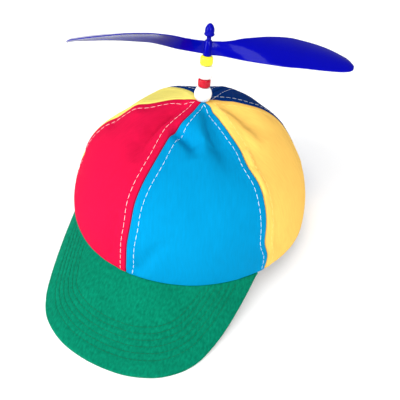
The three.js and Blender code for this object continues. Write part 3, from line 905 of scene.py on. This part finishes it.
class BEANIE_OT_lining(BeanieStep, bpy.types.Operator):
    """Makes the sweatband inside the rim and the tapes over the seams inside the crown"""

    bl_idname = "beanie.lining"
    bl_label = "Sweatband and Seam Tape"

    tape_width = 11 * MM
    tape_thick = 0.5 * MM
    tape_round = 0.6 * MM
    tape_stitch = 1.6 * MM
    tape_groove = 0.5 * MM
    tape_rises = (0.02, 0.9)
    band_thick = 0.8 * MM
    band_round = 0.8 * MM
    band_stitch = 2.2 * MM
    band_groove = 0.6 * MM
    band_start = 0.008
    overlap = 182
    overlap_share = 0.98
    behind = 0.02 * MM

    def execute(self, context):
        self.read(context)
        lining = twill("cloth_lining", self.colours.lining)
        for index in range(len(PANELS)):
            mesh = closed_sheet(16, 60, lambda u, v, face: self.tape(index, u, v, face))
            finish_piece(f"seam_tape_{index + 1}", mesh, lining, self.hat, "hat", on_floor=True)
        band = closed_sheet(300, 20, self.band)
        finish_piece("sweatband", band, lining, self.hat, "hat", on_floor=True)
        return {"FINISHED"}

    def tape(self, index, u, v, is_face):
        shape = self.shape
        rise = lerp(*self.tape_rises, v)
        radius = shape.half_width * shape.ring(rise)
        width = min(self.tape_width, shape.panel_width(index, rise))
        across = (0.5 - u) * width
        azimuth = shape.seam(index, rise) + math.degrees(across / radius)
        edge = (0.5 - abs(u - 0.5)) * width
        soft = rounding(edge, self.tape_round) * 0.4 + bell(edge, self.tape_stitch, self.tape_groove) * 0.25
        depth = shape.cloth + (self.tape_thick * (1 - soft) if is_face else self.behind)
        return shape.point(azimuth, rise, -depth), (across, rise * shape.meridian), FAR_FROM_SEAMS

    def band(self, u, v, is_face):
        shape = self.shape
        around = lerp(self.overlap, -self.overlap, u)
        rise = lerp(self.band_start, self.crown.band_height / shape.meridian, v)
        edge = min(v, 1 - v) * self.crown.band_height
        soft = rounding(edge, self.band_round) * 0.5 + bell(edge, self.band_stitch, self.band_groove) * 0.3
        end_over_start = self.band_thick * smoothstep(u, self.overlap_share, 1)
        base = shape.cloth + self.tape_thick + end_over_start
        depth = base + (self.band_thick * (1 - soft) if is_face else self.behind)
        chart = (math.radians(around) * shape.half_width, v * self.crown.band_height)
        return shape.point(around, rise, -depth), chart, FAR_FROM_SEAMS


class BEANIE_OT_brim(BeanieStep, bpy.types.Operator):
    """Makes the stiff brim and the rows of stitches on it"""

    bl_idname = "beanie.brim"
    bl_label = "Brim"

    columns = 220
    rows = 72
    top_rows = 0.96
    nose_rows = 0.12
    edge_round = 1.6 * MM
    row_groove = 0.35 * MM
    row_width = 0.8 * MM
    wave = 0.25 * MM
    wave_scale = 45
    # Added to the brim's distance to its seam, so that the painted seam shade stays off the brim.
    seam_margin = 0.9 * MM
    rim_share = 0.99
    rim_margin = 2 * MM
    stitch_sink = 0.3 * MM
    wander = 0.2 * MM
    wander_scale = 60

    def execute(self, context):
        self.read(context)
        self.shape_of_brim = BrimShape(context.scene.beanie_brim, self.shape, self.pole.gap)
        cloth = twill("cloth_brim", self.colours.green, grain=0.7, slub=750, stretch=0.5)
        mesh = closed_sheet(self.columns, self.rows, self.place)
        finish_piece("cloth_brim", mesh, cloth, self.hat, "hat", nodes=["brim"],
                     on_floor=True)
        green = thread("green_thread", self.stitch.brim_thread_colour)
        stitches = bmesh.new()
        stitch = self.stitch
        for row in range(stitch.brim_rows):
            for path in self.paths(row):
                add_stitches(stitches, path, stitch.brim_pitch, stitch.brim_length, stitch.brim_thread)
        finish_piece("brim_stitches", stitches, green, self.hat, "hat", on_floor=True)
        return {"FINISHED"}

    def row_inset(self, row):
        return self.stitch.brim_inset + row * self.stitch.brim_spacing

    def place(self, u, v, is_face):
        """Rows run from the round outer edge up to the rim, and the last ones under the crown's cloth."""
        brim = self.shape_of_brim
        shape = self.shape
        angle = lerp(-brim.turn, brim.turn, u)
        rim = Vector((shape.half_width * math.sin(angle), -shape.half_length * math.cos(angle)))
        seat_x = (shape.half_width - shape.cloth) * math.sin(angle)
        seat_y = -(shape.half_length - shape.cloth) * math.cos(angle)
        edge = brim.edge_point(u)
        if v > self.top_rows:
            inward = (v - self.top_rows) / (1 - self.top_rows)
            spot = Vector((lerp(rim.x, seat_x, inward), lerp(rim.y, seat_y, inward), -brim.gap))
            distance = FAR_FROM_SEAMS
        else:
            across = (rim - edge).length
            nose = min(self.edge_round, across / 3)
            if v < self.nose_rows:
                run = nose * (v / self.nose_rows) ** 1.5
            else:
                run = lerp(nose, across, (v - self.nose_rows) / (self.top_rows - self.nose_rows))
            flat = edge.lerp(rim, run / across)
            spot = brim.top(flat.x, flat.y)
            distance = min(brim.edge_distance(flat.x, flat.y), run)
        thick = brim.down.length
        sink = thick / 2 * rounding(distance, self.edge_round)
        if is_face:
            for row in range(self.stitch.brim_rows):
                sink += self.row_groove * bell(distance, self.row_inset(row), self.row_width)
            sink -= self.wave * noise.noise(spot * self.wave_scale)
        down = brim.down.normalized()
        spot = spot + down * (sink if is_face else thick - sink)
        return spot, (spot.x, spot.y * math.hypot(1, brim.slope)), distance + self.seam_margin

    def paths(self, row):
        """The runs of one row of stitches that lie in front of the rim."""
        brim = self.shape_of_brim
        inset = self.row_inset(row)
        down = brim.down.normalized()
        runs = [[]]
        for before, here, after in zip(brim.outline, brim.outline[1:], brim.outline[2:]):
            ahead = (after - before).normalized()
            spot = here + Vector((-ahead.y, ahead.x)) * inset
            beside_rim = abs(spot.x) > self.shape.half_width * self.rim_share
            behind_rim = beside_rim or spot.y > brim.rim_front(spot.x) - self.rim_margin
            if behind_rim or brim.edge_distance(*spot) < inset - self.stitch_sink:
                runs.append([])
                continue
            wander = self.wander * noise.noise((spot * self.wander_scale).to_3d() + Vector((0, 0, row)))
            place = brim.top(spot.x, spot.y + wander) + down * self.stitch_sink
            runs[-1].append((place, -down))
        return [run for run in runs if len(run) > 3]


class BEANIE_OT_beads(BeanieStep, bpy.types.Operator):
    """Turns the four beads on the shaft"""

    bl_idname = "beanie.beads"
    bl_label = "Beads"

    ball_chamfer = 0.4 * MM
    ring_chamfer = 0.3 * MM

    def execute(self, context):
        self.read(context)
        pole = self.pole
        colours = self.colours
        white = glossy_plastic("bead_white", colours.bead_white, rough=0.22, coat=0.3, waves=0.05 * MM)
        red = glossy_plastic("bead_red", colours.bead_red, rough=0.2, coat=0.5, waves=0.05 * MM)
        yellow = glossy_plastic("bead_yellow", colours.bead_yellow, rough=0.2, coat=0.5, waves=0.05 * MM)
        self.bead("base_bead", self.ball(pole.ball, pole.ball_height), white, "bead_white")
        self.bead("red_ring_bead", self.ring(), red, "bead_red")
        self.bead("white_bead", self.ball(pole.upper_ball, pole.upper_ball_height), white, "bead_white")
        self.bead("yellow_ring_bead", self.ring(), yellow, "bead_yellow")
        return {"FINISHED"}

    def bead(self, node, outline, material, slot):
        mesh = bmesh.new()
        turned(mesh, outline, 48)
        place = self.on_pole(self.levels[node])
        finish_piece(f"{node}_turned", mesh, material, place, "hat", nodes=[node])

    def ball(self, diameter, height):
        bore, chamfer = self.pole.bore / 2, self.ball_chamfer
        end = math.asin(height / diameter)
        outline = [(bore, chamfer), (bore + chamfer, 0)]
        for step in range(25):
            angle = lerp(-end, end, step / 24)
            outline.append((diameter / 2 * math.cos(angle), height / 2 + diameter / 2 * math.sin(angle)))
        return outline + [(bore + chamfer, height), (bore, height - chamfer)]

    def ring(self):
        pole = self.pole
        bore, chamfer = pole.bore / 2, self.ring_chamfer
        rounded, height = pole.ring_round, pole.ring_height
        centre = pole.ring / 2 - rounded
        outline = [(bore, chamfer), (bore + chamfer, 0)]
        for start, middle in ((-QUARTER_TURN, rounded), (0, height - rounded)):
            for step in range(9):
                angle = start + QUARTER_TURN * step / 8
                outline.append((centre + rounded * math.cos(angle), middle + rounded * math.sin(angle)))
        return outline + [(bore + chamfer, height), (bore, height - chamfer)]


class BEANIE_OT_shaft(BeanieStep, bpy.types.Operator):
    """Turns the rod with its knob on top and its foot under the crown"""

    bl_idname = "beanie.shaft"
    bl_label = "Shaft and Knob"

    lower_chamfer = 0.4 * MM
    upper_chamfer = 0.2 * MM

    def execute(self, context):
        self.read(context)
        pole = self.pole
        rod = pole.rod / 2
        foot_top = self.crown.height - self.crown.cloth - pole.gap
        foot_bottom = foot_top - pole.foot_thick
        foot = pole.foot / 2
        neck = self.levels["neck"] + pole.neck
        corners = [Vector((radius * pole.knob / 2, neck + height * pole.knob_height))
                   for radius, height in KNOB_OUTLINE]
        knob = smooth_curve(corners + [Vector((0, neck + pole.knob_height))], 5)
        outline = [
            (0, foot_bottom),
            (foot - self.lower_chamfer, foot_bottom),
            (foot, foot_bottom + self.lower_chamfer),
            (foot, foot_top - self.upper_chamfer),
            (foot - self.upper_chamfer, foot_top),
            (rod, foot_top),
            (rod, neck),
        ]
        mesh = bmesh.new()
        turned(mesh, outline + [tuple(corner) for corner in knob], 40)
        blue = glossy_plastic(
            "blue_plastic_knob", self.colours.blue, rough=0.12, coat=0.08, waves=0.06 * MM)
        finish_piece("shaft_turned", mesh, blue, self.on_pole(0), "hat", nodes=["shaft"])
        return {"FINISHED"}


class BEANIE_OT_propeller(BeanieStep, bpy.types.Operator):
    """Moulds the hub and its two twisted blades"""

    bl_idname = "beanie.propeller"
    bl_label = "Propeller"

    columns = 28
    rows = 96
    edge_round = 0.6 * MM
    collar = 0.25 * MM
    collar_height = 1.2 * MM
    collar_round = 0.3 * MM
    shoulder_round = 0.15 * MM

    def execute(self, context):
        self.read(context)
        size = self.propeller
        self.sections = smooth_sections(self.rows)
        mesh = bmesh.new()
        half, bore = size.hub_height / 2, self.pole.bore / 2
        hub = size.hub / 2
        shoulder = half - size.hub_shoulder
        turned(mesh, [
            (bore, -half),
            (hub + self.collar - self.shoulder_round, -half),
            (hub + self.collar, -half + self.collar_round),
            (hub, -half + self.collar_height),
            (hub, shoulder - self.collar_round),
            (hub - self.shoulder_round, shoulder),
            ((bore + hub) / 2, half),
            (bore, half),
        ], 48)
        for droop, side in ((0, 0), (size.droop, math.pi)):
            blade = closed_sheet(self.columns, self.rows, lambda u, v, face: self.place(u, v, face, droop))
            bmesh.ops.rotate(blade, verts=blade.verts[:], matrix=Matrix.Rotation(side, 3, "Z"))
            data = bpy.data.meshes.new("blade")
            blade.to_mesh(data)
            blade.free()
            mesh.from_mesh(data)
            bpy.data.meshes.remove(data)
        blue = glossy_plastic(
            "blue_plastic_blades", self.colours.blue, rough=0.1, coat=0.08, waves=0.12 * MM)
        hub_middle = self.levels["hub"] + half
        finish_piece("propeller_moulded", mesh, blue, self.on_pole(hub_middle, size.turn), "propeller",
                     nodes=["propeller"])
        return {"FINISHED"}

    def place(self, u, v, is_face, droop):
        size = self.propeller
        reach, chord, twist, ahead, lift = self.sections[round(v * self.rows)]
        slope = math.radians(twist)
        near = 0.5 - abs(u - 0.5)
        spread = 0.5 - 0.5 * math.cos(math.pi * u)
        along = (0.5 - spread) * chord * size.chord
        arch = math.sin(math.pi * spread)
        thick = size.thick * lerp(size.edge, 1, arch)
        edge = min(spread, 1 - spread) * chord * size.chord
        thick *= 1 - 0.8 * rounding(edge, self.edge_round)
        normal = size.camber * chord * size.chord * arch + (thick / 2 if is_face else -thick / 2)
        spot = Vector((
            reach * size.radius,
            ahead * size.chord + along * math.cos(slope) - normal * math.sin(slope),
            lift * size.chord + along * math.sin(slope) + normal * math.cos(slope) - droop * reach ** 2,
        ))
        return spot, (spot.x, along), near


def smooth_sections(rows):
    """Blade sections at even steps along the blade, on a smooth curve through the table."""
    halves = [[Vector(section[:3]), Vector((section[0], *section[3:]))] for section in BLADE_SECTIONS]
    first = evenly_in_reach(smooth_curve([half[0] for half in halves], 16), rows)
    second = evenly_in_reach(smooth_curve([half[1] for half in halves], 16), rows)
    return [(*one, *other[1:]) for one, other in zip(first, second)]


def evenly_in_reach(curve, rows):
    points = []
    index = 0
    for row in range(rows + 1):
        reach = lerp(curve[0].x, curve[-1].x, 1 - (1 - row / rows) ** 1.3)
        while index < len(curve) - 2 and curve[index + 1].x < reach:
            index += 1
        amount = (reach - curve[index].x) / (curve[index + 1].x - curve[index].x)
        points.append(curve[index].lerp(curve[index + 1], amount))
    return points


class BEANIE_OT_stage(bpy.types.Operator):
    """Lays the floor, and sets up the studio light and the camera"""

    bl_idname = "beanie.stage"
    bl_label = "Stage"
    bl_options = {"REGISTER", "UNDO"}

    floor_half_width = 3
    floor_drop = 0.1 * MM

    def execute(self, context):
        scene = context.scene
        stage = scene.beanie_stage
        floor = bmesh.new()
        bmesh.ops.create_grid(floor, x_segments=1, y_segments=1, size=self.floor_half_width)
        bmesh.ops.translate(floor, verts=floor.verts[:], vec=(0, 0, -self.floor_drop))
        data = bpy.data.meshes.new("floor")
        floor.to_mesh(data)
        floor.free()
        data.materials.append(plain_floor(stage.floor_colour))
        ground = bpy.data.objects.new("floor", data)
        scene.collection.objects.link(ground)

        world = bpy.data.worlds.new("studio")
        world.use_nodes = True
        background = world.node_tree.nodes["Background"]
        background.inputs["Color"].default_value = (1, 1, 1, 1)
        background.inputs["Strength"].default_value = stage.sky
        scene.world = world
        scene.view_settings.view_transform = "Standard"

        for name, place, size in SOFTBOXES:
            self.softbox(scene, name, place, size, getattr(stage, name))
        self.camera(scene)
        return {"FINISHED"}

    def softbox(self, scene, name, place, size, power):
        light = bpy.data.lights.new(f"{name}_light", "AREA")
        light.shape = "SQUARE"
        light.size = size
        light.energy = power
        lamp = bpy.data.objects.new(f"{name}_light", light)
        scene.collection.objects.link(lamp)
        aim = Vector(LIGHT_AIM) - Vector(place)
        lamp.location = place
        lamp.rotation_euler = aim.to_track_quat("-Z", "Y").to_euler()

    def camera(self, scene):
        lens = bpy.data.cameras.new("camera")
        lens.lens = CAMERA_LENS
        lens.sensor_width = CAMERA_FILM
        viewer = bpy.data.objects.new("camera", lens)
        scene.collection.objects.link(viewer)
        turn = Matrix.Rotation(math.radians(CAMERA_TURN), 4, "Z")
        tilt = Matrix.Rotation(math.radians(CAMERA_TILT), 4, "X")
        roll = Matrix.Rotation(math.radians(CAMERA_ROLL), 4, "Z")
        viewer.matrix_world = Matrix.Translation(Vector(CAMERA_PLACE) * MM) @ turn @ tilt @ roll
        scene.camera = viewer


class BEANIE_PT_panel(bpy.types.Panel):
    """Lists the steps and their settings"""

    bl_idname = "BEANIE_PT_panel"
    bl_label = "Propeller Beanie"
    bl_space_type = "VIEW_3D"
    bl_region_type = "UI"
    bl_category = "Beanie"

    def draw(self, context):
        for step in STEPS:
            self.layout.operator(step.bl_idname)
        for name, group in SETTINGS:
            box = self.layout.box()
            box.label(text=name.replace("_", " ").capitalize())
            settings = getattr(context.scene, name)
            for key in group.__annotations__:
                box.prop(settings, key)


SETTINGS = [
    ("beanie_crown", BeanieCrownSettings),
    ("beanie_stitch", BeanieStitchSettings),
    ("beanie_brim", BeanieBrimSettings),
    ("beanie_pole", BeaniePoleSettings),
    ("beanie_propeller", BeaniePropellerSettings),
    ("beanie_colours", BeanieColourSettings),
    ("beanie_stage", BeanieStageSettings),
]

STEPS = [
    BEANIE_OT_panels,
    BEANIE_OT_topstitch,
    BEANIE_OT_lining,
    BEANIE_OT_brim,
    BEANIE_OT_beads,
    BEANIE_OT_shaft,
    BEANIE_OT_propeller,
    BEANIE_OT_stage,
]


def register():
    for name, group in SETTINGS:
        bpy.utils.register_class(group)
        setattr(bpy.types.Scene, name, bpy.props.PointerProperty(type=group))
    for step in STEPS:
        bpy.utils.register_class(step)
    bpy.utils.register_class(BEANIE_PT_panel)


def unregister():
    bpy.utils.unregister_class(BEANIE_PT_panel)
    for step in reversed(STEPS):
        bpy.utils.unregister_class(step)
    for name, group in reversed(SETTINGS):
        delattr(bpy.types.Scene, name)
        bpy.utils.unregister_class(group)


def main():
    register()
    bpy.ops.beanie.panels()
    bpy.ops.beanie.topstitch()
    bpy.ops.beanie.lining()
    bpy.ops.beanie.brim()
    bpy.ops.beanie.beads()
    bpy.ops.beanie.shaft()
    bpy.ops.beanie.propeller()
    bpy.ops.beanie.stage()


if __name__ == "__main__":
    main()
